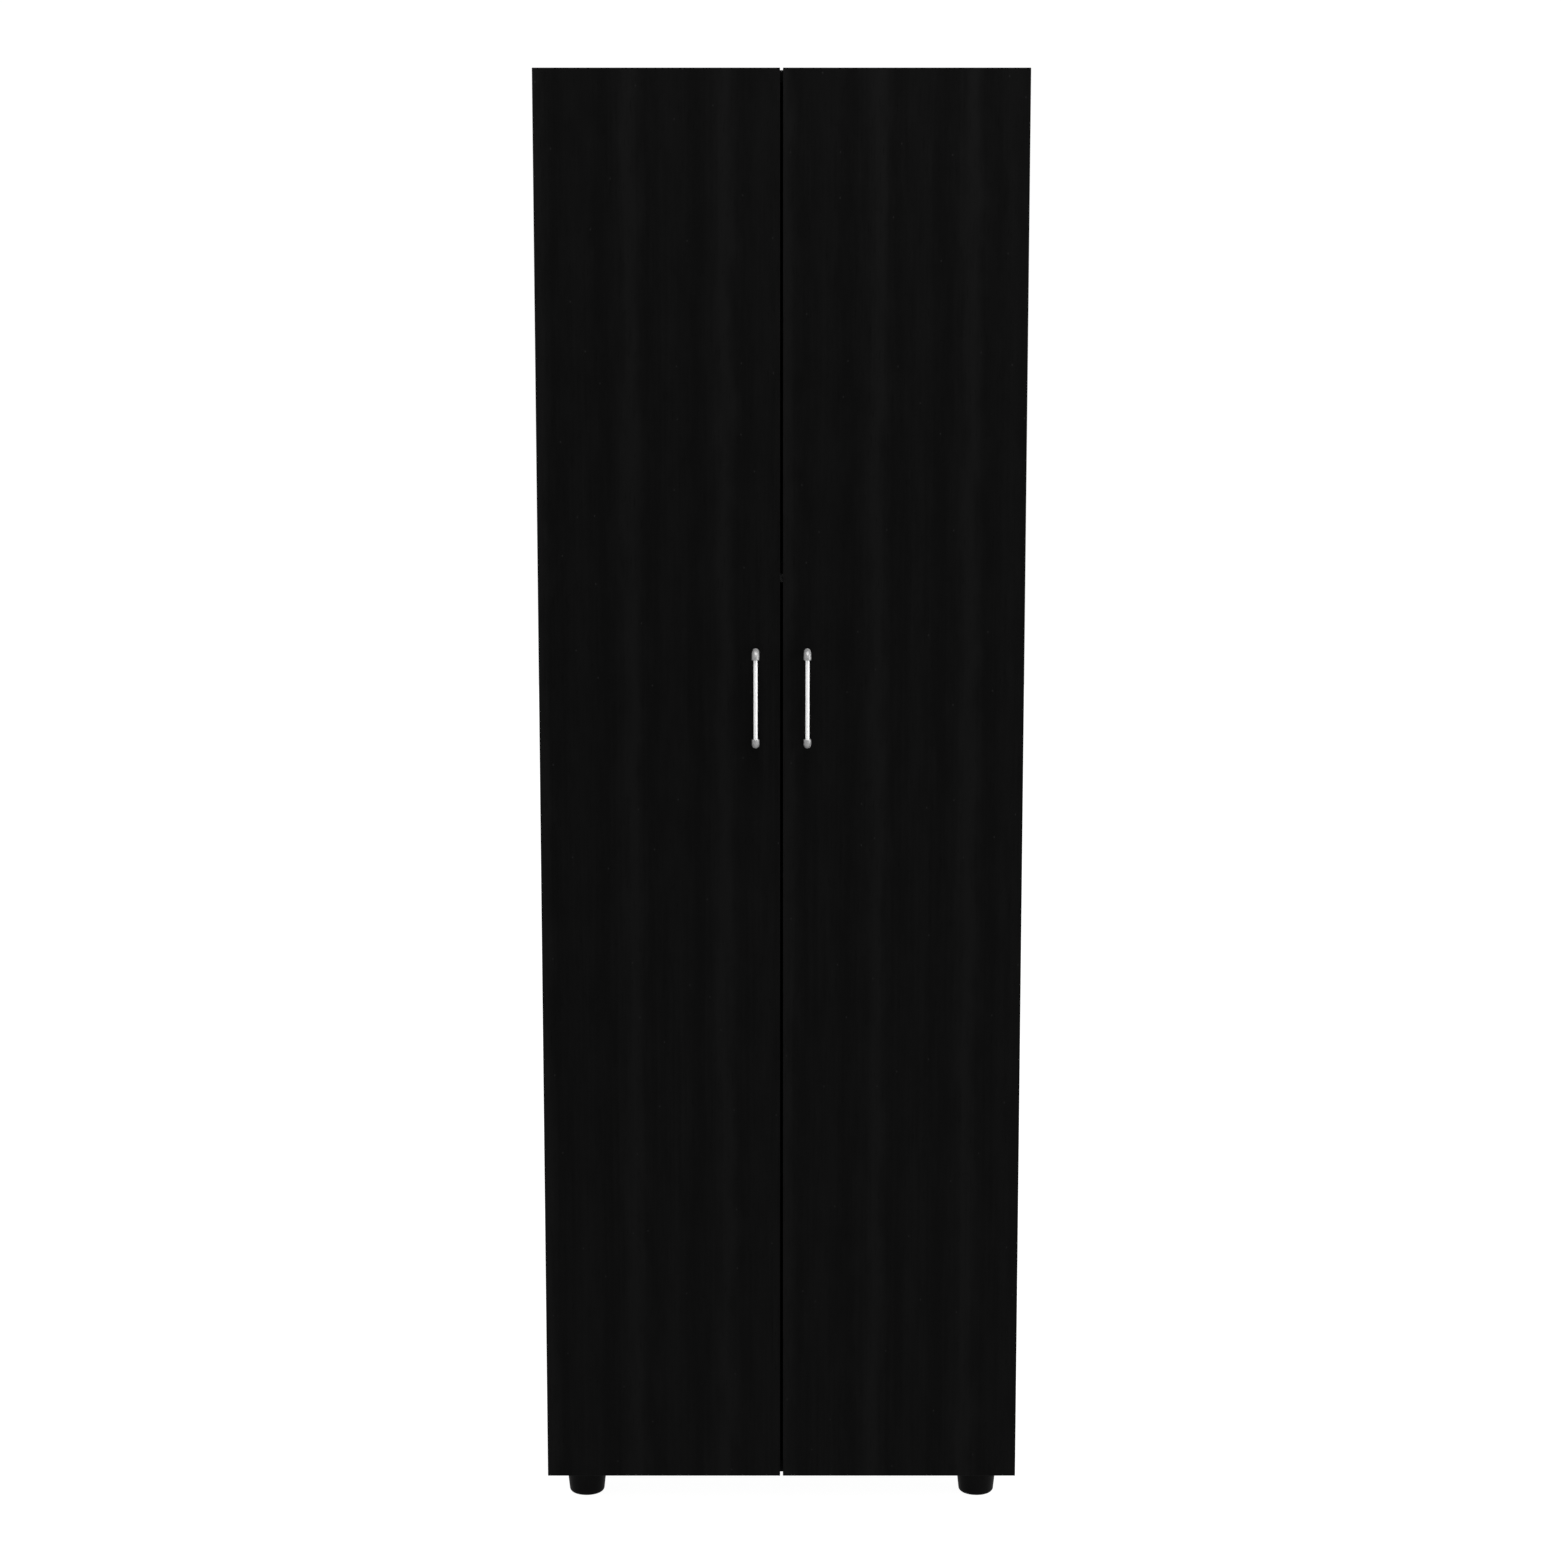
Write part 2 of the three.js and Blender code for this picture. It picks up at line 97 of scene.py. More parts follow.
class PantryFinishes(bpy.types.PropertyGroup):
    """Colours and textures of the cabinet's materials."""

    laminate: bpy.props.FloatVectorProperty(
        name="Laminate", description="Ground colour of the black-brown laminate",
        subtype="COLOR", size=3, min=0, max=1, default=(0.0026, 0.0026, 0.0026))
    laminate_light: bpy.props.FloatVectorProperty(
        name="Light grain", description="Colour of the lightest bands of the grain",
        subtype="COLOR", size=3, min=0, max=1, default=(0.005, 0.005, 0.005))
    hardboard: bpy.props.FloatVectorProperty(
        name="Hardboard", description="Raw rear face of the back panel",
        subtype="COLOR", size=3, min=0, max=1, default=(0.2, 0.115, 0.06))
    bar: bpy.props.FloatVectorProperty(
        name="Handle bar", description="Bright satin aluminium of the bars",
        subtype="COLOR", size=3, min=0, max=1, default=(0.98, 0.98, 0.98))
    post: bpy.props.FloatVectorProperty(
        name="Handle post", description="Satin plating of the posts",
        subtype="COLOR", size=3, min=0, max=1, default=(0.36, 0.36, 0.36))
    steel: bpy.props.FloatVectorProperty(
        name="Plated steel", description="Hinges, screws, pins and strike plates",
        subtype="COLOR", size=3, min=0, max=1, default=(0.58, 0.575, 0.56))
    black_plastic: bpy.props.FloatVectorProperty(
        name="Black plastic", description="Moulded feet",
        subtype="COLOR", size=3, min=0, max=1, default=(0.0041, 0.0041, 0.0041))
    grey_plastic: bpy.props.FloatVectorProperty(
        name="Grey plastic", description="Dark grey housing of the magnetic catch",
        subtype="COLOR", size=3, min=0, max=1, default=(0.055, 0.055, 0.055))


class PantryFittings(bpy.types.PropertyGroup):
    """Sizes of what is added to the frame."""

    edge_round: bpy.props.FloatProperty(
        name="Board edge", description="Radius of the eased edges of the boards",
        subtype="DISTANCE", unit="LENGTH", default=0.6 * MM, min=0.1 * MM, max=2 * MM)
    foot_taper: bpy.props.FloatProperty(
        name="Foot taper", description="Radius at the floor over the radius at the top",
        default=0.838, min=0.7, max=1)
    nail_spacing: bpy.props.FloatProperty(
        name="Nail spacing", description="Distance between nails round the back panel",
        subtype="DISTANCE", unit="LENGTH", default=110 * MM, min=40 * MM)
    bumper_radius: bpy.props.FloatProperty(
        name="Bumper", description="Radius of the soft stops on the doors' backs",
        subtype="DISTANCE", unit="LENGTH", default=4 * MM, min=2 * MM)


class PantryStage(bpy.types.PropertyGroup):
    """Where the camera stands, and the light."""

    distance: bpy.props.FloatProperty(
        name="Camera distance", description="From the doors' faces",
        subtype="DISTANCE", unit="LENGTH", default=4.079)
    drop: bpy.props.FloatProperty(
        name="Camera drop", description="How far the camera is below the door tops",
        subtype="DISTANCE", unit="LENGTH", default=0.2152)
    pitch: bpy.props.FloatProperty(
        name="Camera pitch", description="How far the camera looks down",
        subtype="ANGLE", default=math.radians(9.047))
    lens: bpy.props.FloatProperty(
        name="Lens", description="Focal length for a 36 mm sensor, in millimetres",
        default=76.92, min=10)
    backdrop: bpy.props.FloatProperty(
        name="Backdrop", description="Brightness of the white behind the cabinet",
        default=1.02, min=0)
    fill: bpy.props.FloatProperty(
        name="Fill", description="Light from the sides and the back of the room",
        default=0.8, min=0)
    front: bpy.props.FloatProperty(
        name="Front", description="Light from the dim end that the doors face",
        default=0.12, min=0)
    overhead: bpy.props.FloatProperty(
        name="Overhead softbox", description="Power of the softbox above the front",
        subtype="POWER", unit="POWER", default=60.0, min=0)
    right_box: bpy.props.FloatProperty(
        name="Right softbox", description="Power of the softbox on the right",
        subtype="POWER", unit="POWER", default=45.0, min=0)
    left_box: bpy.props.FloatProperty(
        name="Left softbox", description="Power of the softbox on the left",
        subtype="POWER", unit="POWER", default=5.0, min=0)


# ---- Surfaces -------------------------------------------------------------------------


def place(local, origin, out):
    """Turns local points so that local z runs along `out`, and moves them to `origin`.

    Formula: origin + x * (up cross out) + y * up + z * out, where up is +Z, or +Y for
    a piece that points up or down.
    """
    out = np.asarray(out, float)
    up = np.array([0.0, 1.0, 0.0]) if abs(out[2]) > 0.5 else np.array([0.0, 0.0, 1.0])
    basis = np.stack([np.cross(up, out), up, out])
    return np.asarray(local, float) @ basis + np.asarray(origin, float)


def shell(grid, closed=False):
    """A closed surface from a grid of rings: (points, faces), facing outwards.

    Neighbouring rings are joined by quads. Unless the last ring joins the first, each
    end is shut by one flat face. The winding follows the sign of the enclosed volume,
    a sixth of the sum of p0 . (p1 x p2) over the triangles.
    """
    rings, around = grid.shape[:2]
    ring = np.arange(rings if closed else rings - 1)[:, None]
    column = np.arange(around)[None, :]
    here, there = ring * around, (ring + 1) % rings * around
    ahead = (column + 1) % around
    quads = np.stack([here + column, here + ahead, there + ahead, there + column], -1)
    faces = quads.reshape(-1, 4).tolist()
    if not closed:
        faces.append(list(range(around))[::-1])
        faces.append(list(range((rings - 1) * around, rings * around)))
    points = grid.reshape(-1, 3)
    fans = np.array([(f[0], f[i], f[i + 1]) for f in faces for i in range(1, len(f) - 1)])
    a, b, c = (points[fans[:, i]] for i in range(3))
    if np.einsum("ij,ij->", a - points.mean(0), np.cross(b - a, c - a)) < 0:
        faces = [f[::-1] for f in faces]
    return points, faces


def turned(profile, origin, out, around=64, closed=False, swell=None):
    """A turned solid: the point at angle t of a row (r, h) is (r cos t, r sin t, h).

    A third number in a row is how much of swell(t), an extra radius, the row takes.
    """
    rows = np.array([(*row, 0.0)[:3] for row in profile], float)
    t = np.linspace(0, 2 * np.pi, around, endpoint=False)
    radius = rows[:, :1] + rows[:, 2:] * (0 if swell is None else swell(t)[None, :])
    height = np.broadcast_to(rows[:, 1:2], (len(rows), around))
    radius = np.broadcast_to(radius, height.shape)
    grid = np.stack([radius * np.cos(t), radius * np.sin(t), height], -1)
    return shell(place(grid, origin, out), closed)


def quarter(centre, radius, start, count=6):
    """Points on a quarter circle: centre + radius (cos t, sin t), t from start to start + 90."""
    t = np.radians(np.linspace(start, start + 90, count))
    return np.stack([centre[0] + radius * np.cos(t), centre[1] + radius * np.sin(t)], -1)


def rounded_rectangle(half_width, half_height, radius, count=7):
    """A rectangle's outline with a quarter circle at each corner, anticlockwise."""
    across, along = half_width - radius, half_height - radius
    corners = ((across, along), (-across, along), (-across, -along), (across, -along))
    return np.concatenate([quarter(c, radius, 90 * i, count) for i, c in enumerate(corners)])


def slab(origin, out, width, height, thickness, corner, edge):
    """A plate standing on `origin` with round corners and a rolled top edge.

    The outline is carried from 0 up to the thickness, and over the last stretch it
    draws in by edge (1 - cos t) while it rises by edge sin t.
    """
    t = np.radians(np.linspace(0, 90, 5))
    inset = np.concatenate([[0.0], edge * (1 - np.cos(t))])
    level = np.concatenate([[0.0], thickness - edge + edge * np.sin(t)])
    rings = []
    for draw, rise in zip(inset, level):
        flat = rounded_rectangle(width / 2 - draw, height / 2 - draw, max(corner - draw, 1e-5))
        rings.append(np.column_stack([flat, np.full(len(flat), rise)]))
    return shell(place(np.array(rings), origin, out))


def screw_head(origin, out, radius, height, around=32):
    """A pan head with a cross recess.

    At radius r and angle t the height is h (1 - 0.35 (r/R)^4) less a cross: the larger
    of two Gaussian grooves in x and y, faded out beyond 0.6 R.
    """
    r = radius * np.array([1, 1, 0.94, 0.84, 0.72, 0.62, 0.52, 0.42, 0.32, 0.22, 0.12, 0.03])
    t = np.linspace(0, 2 * np.pi, around, endpoint=False)
    x, y = r[:, None] * np.cos(t), r[:, None] * np.sin(t)
    dome = height * (1 - 0.35 * (r / radius) ** 4)[:, None] * np.ones_like(x)
    groove = np.maximum(np.exp(-(x / (0.13 * radius)) ** 2), np.exp(-(y / (0.13 * radius)) ** 2))
    fade = np.clip((0.62 - r / radius) / 0.12, 0, 1)[:, None]
    z = dome - 0.6 * height * groove * fade
    z[0] = 0
    return shell(place(np.stack([x, y, z], -1), origin, out))


def screw(kind, origin, out):
    """The head of one kind of screw, standing on `origin`."""
    radius, height = HEADS[kind]
    return screw_head(origin, out, radius * MM, height * MM)


def ribbon(path, thickness, width, place_plan, z):
    """A strip of metal: its rounded section is carried along a path in the hinge's plan.

    The section stands across the path's tangent, found from differences along the path.
    """
    path = np.asarray(path, float)
    tangent = np.gradient(path, axis=0)
    tangent /= np.linalg.norm(tangent, axis=1)[:, None]
    normal = np.stack([-tangent[:, 1], tangent[:, 0]], -1)
    unit = rounded_rectangle(0.5, 0.5, 0.18, 4)
    offset = unit[None, :, :1] * thickness
    plan = path[:, None, :] + normal[:, None, :] * offset
    lift = unit[None, :, 1] * np.broadcast_to(width, len(path))[:, None]
    return shell(place_plan(plan[..., 0], plan[..., 1], z + lift))


def prism(outline, place_plan, low, high):
    """A flat plate: an outline in the hinge's plan between two heights."""
    outline = np.asarray(outline, float)
    heights = np.array([low, high])[:, None] * np.ones(len(outline))
    u = np.broadcast_to(outline[:, 0], heights.shape)
    v = np.broadcast_to(outline[:, 1], heights.shape)
    return shell(place_plan(u, v, heights))


def add_piece(name, shells, material, body, stands_for=(), smooth=32):
    """Joins closed shells into one mesh object at the origin and hangs it on a body."""
    points, faces, start = [], [], 0
    for shell_points, shell_faces in shells:
        points.append(shell_points)
        faces += [[i + start for i in face] for face in shell_faces]
        start += len(shell_points)
    mesh = bpy.data.meshes.new(name)
    mesh.from_pydata(np.concatenate(points).tolist(), [], faces)
    mesh.shade_smooth()
    mesh.set_sharp_from_angle(angle=math.radians(smooth))
    mesh.materials.append(material)
    piece = bpy.data.objects.new(name, mesh)
    bpy.context.scene.collection.objects.link(piece)
    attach(piece, body)
    if stands_for:
        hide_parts(*stands_for)


def middle_of(node):
    low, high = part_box(node)
    return (low + high) / 2


def hinge_plan(side):
    """A map from the hinge's plan to the frame: u inwards from the side, v forwards."""
    def to_frame(u, v, z):
        return np.stack([side * (SIDE_X - np.asarray(u)), FRONT_Y - np.asarray(v), z], -1)
    return to_frame


# ---- Materials --------------------------------------------------------------------------


class Recipe:
    """Builds one material's node tree: each call adds a node and returns its output."""

    def __init__(self, name):
        self.material = bpy.data.materials.new(name)
        self.material.use_nodes = True
        self.tree = self.material.node_tree
        self.shader = self.tree.nodes["Principled BSDF"]

    def add(self, kind, output=0, settings=None, **inputs):
        node = self.tree.nodes.new(kind)
        for key, value in (settings or {}).items():
            setattr(node, key, value)
        for key, value in inputs.items():
            self.feed(node.inputs[key.replace("_", " ")], value)
        return node.outputs[output]

    def feed(self, socket, value):
        if isinstance(value, bpy.types.NodeSocket):
            self.tree.links.new(value, socket)
        else:
            socket.default_value = value

    def shade(self, **inputs):
        for key, value in inputs.items():
            self.feed(self.shader.inputs[key.replace("_", " ")], value)
        return self.material

    def spot(self, scale):
        """Object coordinates stretched by scale."""
        where = self.add("ShaderNodeTexCoord", "Object")
        return self.add("ShaderNodeMapping", Vector=where, Scale=scale)

    def noise(self, scale, detail=3.0, roughness=0.5, distortion=0.0):
        return self.add(
            "ShaderNodeTexNoise", "Fac", Vector=self.spot(scale), Scale=1.0,
            Detail=detail, Roughness=roughness, Distortion=distortion)

    def span(self, value, low, high, to_low=0.0, to_high=1.0):
        """Maps low..high onto to_low..to_high, held at the ends."""
        node = self.tree.nodes.new("ShaderNodeMapRange")
        for i, item in enumerate((value, low, high, to_low, to_high)):
            self.feed(node.inputs[i], item)
        return node.outputs[0]

    def sum(self, a, b, operation="ADD"):
        node = self.tree.nodes.new("ShaderNodeMath")
        node.operation = operation
        self.feed(node.inputs[0], a)
        self.feed(node.inputs[1], b)
        return node.outputs[0]

    def ramp(self, value, stops):
        """A grey ramp through (position, brightness) stops."""
        node = self.tree.nodes.new("ShaderNodeValToRGB")
        self.feed(node.inputs[0], value)
        ends = node.color_ramp.elements
        while len(ends) < len(stops):
            ends.new(0.5)
        for end, (position, level) in zip(ends, stops):
            end.position = position
            end.color = (level, level, level, 1)
        return node.outputs[0]

    def blend(self, share, a, b):
        node = self.tree.nodes.new("ShaderNodeMix")
        node.data_type = "RGBA"
        self.feed(node.inputs["Factor"], share)
        self.feed(node.inputs["A"], a)
        self.feed(node.inputs["B"], b)
        return node.outputs["Result"]

    def bump(self, height, distance, strength=1.0):
        return self.add("ShaderNodeBump", Height=height, Distance=distance, Strength=strength)


def rgba(colour):
    return (*colour, 1.0)


# The print's brightness across one repeat, from 0 at the dark lines to 1 in the light band.
PRINT = (
    (0.0, 1.0), (0.03, 0.92), (0.1, 0.38), (0.16, 0.12), (0.25, 0.16), (0.42, 0.42),
    (0.56, 0.32), (0.66, 0.06), (0.72, 0.02), (0.79, 0.26), (0.88, 0.42), (0.95, 0.86), (1.0, 1.0))
REPEAT = 0.114


def laminate(name, finishes, grain, start=0.0):
    """Wood-grain melamine: a printed film whose light bands come back at every repeat.

    Across the grain the print is read at x + y on upright boards and at y + z on level
    ones, so it goes round an edge as a folded film does. start is where a light band
    lies. The bands waver and break up into patches, and streaks, fibres, pores and a few
    pale flecks lie on them.
    """
    recipe = Recipe(name)
    where = recipe.add("ShaderNodeTexCoord", "Object")
    x, y, z = (recipe.add("ShaderNodeSeparateXYZ", i, Vector=where) for i in range(3))
    across, along = (recipe.sum(x, y), z) if grain == 2 else (recipe.sum(y, z), x)

    def film(stretch, run):
        """The print's own flat coordinates, scaled across and along the grain."""
        wide = recipe.sum(across, stretch, "MULTIPLY")
        return recipe.add("ShaderNodeCombineXYZ", X=wide, Y=recipe.sum(along, run, "MULTIPLY"))

    def pattern(stretch, run, detail, roughness):
        return recipe.add(
            "ShaderNodeTexNoise", "Fac", {"noise_dimensions": "2D"}, Vector=film(stretch, run),
            Scale=1.0, Detail=detail, Roughness=roughness)

    waver = recipe.span(pattern(22, 9, 3, 0.6), 0.25, 0.75, -0.055, 0.055)
    repeats = recipe.sum(recipe.sum(across, start, "SUBTRACT"), REPEAT, "DIVIDE")
    phase = recipe.sum(recipe.sum(repeats, waver), 0.0, "FRACT")
    light = recipe.ramp(phase, PRINT)
    patches = pattern(48, 13, 4, 0.65)
    streaks = pattern(230, 2.2, 3, 0.6)
    fibres = pattern(650, 11, 3, 0.6)
    pore = recipe.span(pattern(900, 40, 2, 0.5), 0.67, 0.75)
    light = recipe.sum(light, recipe.span(patches, 0.3, 0.7, -0.17, 0.17))
    light = recipe.sum(light, recipe.span(streaks, 0.3, 0.7, -0.17, 0.17))
    light = recipe.sum(light, recipe.span(fibres, 0.3, 0.7, -0.12, 0.12))
    cells = recipe.add(
        "ShaderNodeTexVoronoi", "Distance", {"voronoi_dimensions": "2D"},
        Vector=film(14, 9), Scale=1.0)
    fleck = recipe.span(cells, 0.006, 0.014, 1, 0)
    colour = recipe.blend(light, rgba(finishes.laminate), rgba(finishes.laminate_light))
    colour = recipe.blend(recipe.sum(pore, 0.6, "MULTIPLY"), colour, (0.0012, 0.0012, 0.0012, 1))
    colour = recipe.blend(fleck, colour, (0.012, 0.012, 0.012, 1))
    relief = recipe.sum(recipe.sum(fibres, 0.3, "MULTIPLY"), pore, "SUBTRACT")
    rough = recipe.span(streaks, 0.3, 0.75, 0.5, 0.4)
    return recipe.shade(
        Base_Color=colour, Roughness=rough, Specular_IOR_Level=0.03,
        Normal=recipe.bump(relief, 0.00003))


def hardboard(name, finishes):
    """Brown pressed fibre on the rear face, and the film of the cabinet's inside in front."""
    recipe = Recipe(name)
    clumps = recipe.noise((60, 60, 60), 5, 0.65)
    fibres = recipe.noise((900, 300, 650), 4, 0.7, 1.5)
    flecks = recipe.noise((380, 200, 1500), 2, 0.5, 0.8)
    tone = recipe.sum(
        recipe.span(clumps, 0.3, 0.7, 0, 0.55), recipe.span(fibres, 0.3, 0.7, 0, 0.45))
    dark = tuple(0.62 * c for c in finishes.hardboard)
    pale = tuple(min(1.35 * c, 1) for c in finishes.hardboard)
    raw = recipe.blend(tone, rgba(dark), rgba(pale))
    raw = recipe.blend(recipe.span(flecks, 0.66, 0.76, 0, 0.5), raw, (0.045, 0.025, 0.014, 1))
    place_y = recipe.add("ShaderNodeSeparateXYZ", "Y", Vector=recipe.spot((1, 1, 1)))
    film_edge = (BACK_LOW.y + BACK_HIGH.y) / 2
    behind = recipe.sum(place_y, film_edge, "GREATER_THAN")
    colour = recipe.blend(behind, rgba(finishes.laminate), raw)
    return recipe.shade(
        Base_Color=colour, Roughness=0.72, Specular_IOR_Level=0.2,
        Normal=recipe.bump(fibres, 0.0002, 0.6))


def metal(name, colour, roughness, brushed, wear, share=1.0):
    """Bare or plated metal: brushed scales the fine marks' direction, wear their depth.

    share is how much of it is bare metal; the rest is a dull lacquer over it.
    """
    recipe = Recipe(name)
    marks = recipe.noise(brushed, 3, 0.6)
    cloud = recipe.noise((90, 90, 90), 2, 0.5)
    rough = recipe.sum(recipe.span(marks, 0.3, 0.7, roughness * 0.85, roughness * 1.15),
                       recipe.span(cloud, 0.35, 0.7, -0.02, 0.03))
    shade = recipe.blend(recipe.span(cloud, 0.3, 0.75), rgba(colour),
                         rgba(tuple(0.93 * c for c in colour)))
    return recipe.shade(
        Base_Color=shade, Metallic=share, Roughness=rough, Normal=recipe.bump(marks, wear))


def plastic(name, colour, roughness, level):
    """Moulded plastic with a fine spark-eroded grain."""
    recipe = Recipe(name)
    grain = recipe.noise((2600, 2600, 2600), 2, 0.5)
    cloud = recipe.noise((45, 45, 45), 3, 0.5)
    tint = recipe.blend(recipe.span(cloud, 0.3, 0.7), rgba(colour),
                        rgba(tuple(1.25 * c for c in colour)))
    rough = recipe.span(cloud, 0.3, 0.7, roughness * 0.9, roughness * 1.1)
    return recipe.shade(
        Base_Color=tint, Roughness=rough, Specular_IOR_Level=level,
        Normal=recipe.bump(grain, 0.000008, 0.7))


def band_start(node):
    """Where the first light band of a door lies: just inside its left edge, on its face."""
    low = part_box(node)[0]
    return low.x + low.y + 1.75 * MM


def finish(name):
    """The named material, made on first use."""
    own = f"pantry_{name}"
    if own in bpy.data.materials:
        return bpy.data.materials[own]
    finishes = bpy.context.scene.pantry_finishes
    makers = {
        "laminate_left_door": lambda: laminate(own, finishes, 2, band_start("left_door")),
        "laminate_right_door": lambda: laminate(own, finishes, 2, band_start("right_door")),
        "laminate_upright": lambda: laminate(own, finishes, 2),
        "laminate_level": lambda: laminate(own, finishes, 0),
        "hardboard": lambda: hardboard(own, finishes),
        "satin_aluminium": lambda: metal(own, finishes.bar, 0.45, (2500, 2500, 60), 0.000004, 0.4),
        "polished_plate": lambda: metal(own, finishes.post, 0.5, (900, 900, 900), 0.000004, 0.45),
        "plated_steel": lambda: metal(own, finishes.steel, 0.3, (500, 90, 500), 0.000003),
        "black_plastic": lambda: plastic(own, finishes.black_plastic, 0.42, 0.03),
        "grey_plastic": lambda: plastic(own, finishes.grey_plastic, 0.5, 0.2),
        "ferrite": lambda: plastic(own, (0.02, 0.02, 0.021), 0.6, 0.3),
        "rubber": lambda: plastic(own, (0.05, 0.047, 0.045), 0.7, 0.3),
    }
    return makers[name]()


def paint(node, material):
    """Gives a frame node its material."""
    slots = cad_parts[node].data.materials
    slots.clear()
    slots.append(finish(material))


def ease_edges(node, radius):
    """Joins the node's loose triangles, drops flat edges and rounds the sharp ones."""
    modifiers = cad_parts[node].modifiers
    weld = modifiers.new("joined_corners", "WELD")
    weld.merge_threshold = 0.01 * MM
    flat = modifiers.new("flat_faces", "DECIMATE")
    flat.decimate_type = "DISSOLVE"
    flat.angle_limit = math.radians(1)
    eased = modifiers.new("eased_edges", "BEVEL")
    eased.width = radius
    eased.segments = 3
    eased.limit_method = "ANGLE"
    eased.angle_limit = math.radians(60)
    eased.use_clamp_overlap = False


# ---- Operators ----------------------------------------------------------------------------


class PANTRY_OT_boards(bpy.types.Operator):
    """Ease the edges of the doors, panels and shelves and cover them with laminate"""

    bl_idname = "pantry.boards"
    bl_label = "Boards"

    def execute(self, context):
        radius = context.scene.pantry_fittings.edge_round
        upright = ["left_door", "right_door", "left_side_panel", "right_side_panel"]
        level = ["top_panel", "bottom_panel", "fixed_shelf"]
        level += [f"{name}_shelf" for name in SHELF_LEVELS]
        for node in upright + level:
            ease_edges(node, radius)
            paint(node, "laminate_upright" if node in upright else "laminate_level")
        for hand in HANDS:
            paint(f"{hand}_door", f"laminate_{hand}_door")
        return {"FINISHED"}


class PANTRY_OT_back_panel(bpy.types.Operator):
    """Finish the hardboard back and nail it on"""

    bl_idname = "pantry.back_panel"
    bl_label = "Back panel"

    def execute(self, context):
        paint("back_panel", "hardboard")
        spacing = context.scene.pantry_fittings.nail_spacing
        low = np.array([BACK_LOW.x, BACK_LOW.z]) + NAIL_INSET
        high = np.array([BACK_HIGH.x, BACK_HIGH.z]) - NAIL_INSET
        columns = np.linspace(low[0], high[0], round((high[0] - low[0]) / spacing) + 1)
        rows = np.linspace(low[1], high[1], round((high[1] - low[1]) / spacing) + 1)
        shelf_z = middle_of("fixed_shelf").z
        spots = [(x, z) for z in (low[1], shelf_z, high[1]) for x in columns]
        spots += [(x, z) for x in (low[0], high[0]) for z in rows[1:-1]]
        dome = [(2.2 * MM, 0), (2.2 * MM, 0.2 * MM), (1.7 * MM, 0.45 * MM), (0.5 * MM, 0.6 * MM)]
        heads = [turned(dome, (x, BACK_HIGH.y, z), (0, 1, 0), 12) for x, z in spots]
        add_piece("back_panel_nails", heads, finish("plated_steel"), "carcass")
        return {"FINISHED"}


class PANTRY_OT_feet(bpy.types.Operator):
    """Turn the four tapered feet and their screws"""

    bl_idname = "pantry.feet"
    bl_label = "Feet"

    def execute(self, context):
        taper = context.scene.pantry_fittings.foot_taper
        for end in PIN_ENDS:
            for hand in HANDS:
                self.foot(f"foot_{end}_{hand}", taper)
        return {"FINISHED"}

    def foot(self, node, taper):
        """The wall's radius grows evenly with height, above a quarter round at the floor."""
        low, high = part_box(node)
        top, height = (high.x - low.x) / 2, high.z
        base, pocket, roof, edge, bead = top * taper, 7 * MM, 30 * MM, 4.5 * MM, 0.5 * MM
        wall_z = np.linspace(edge, height - bead, 12)
        wall = np.column_stack([base + (top - base) * wall_z / height, wall_z])
        shift = wall[0, 0] - base
        profile = np.concatenate([
            [(pocket, bead), (pocket + bead, 0)],
            quarter((base - edge, edge), edge, -90, 12)
            + [(shift * s, 0) for s in np.linspace(0, 1, 12)],
            wall[1:],
            [(top - bead, height), (2.4 * MM, height), (2.4 * MM, roof), (pocket, roof)],
        ])
        centre = ((low.x + high.x) / 2, (low.y + high.y) / 2, 0)
        body = turned(profile, centre, (0, 0, 1), 96, closed=True)
        add_piece(
            f"{node}_moulding", [body], finish("black_plastic"), "carcass",
            [node])
        head = screw("foot", (centre[0], centre[1], roof), (0, 0, -1))
        add_piece(f"{node}_screw", [head], finish("plated_steel"), "carcass")


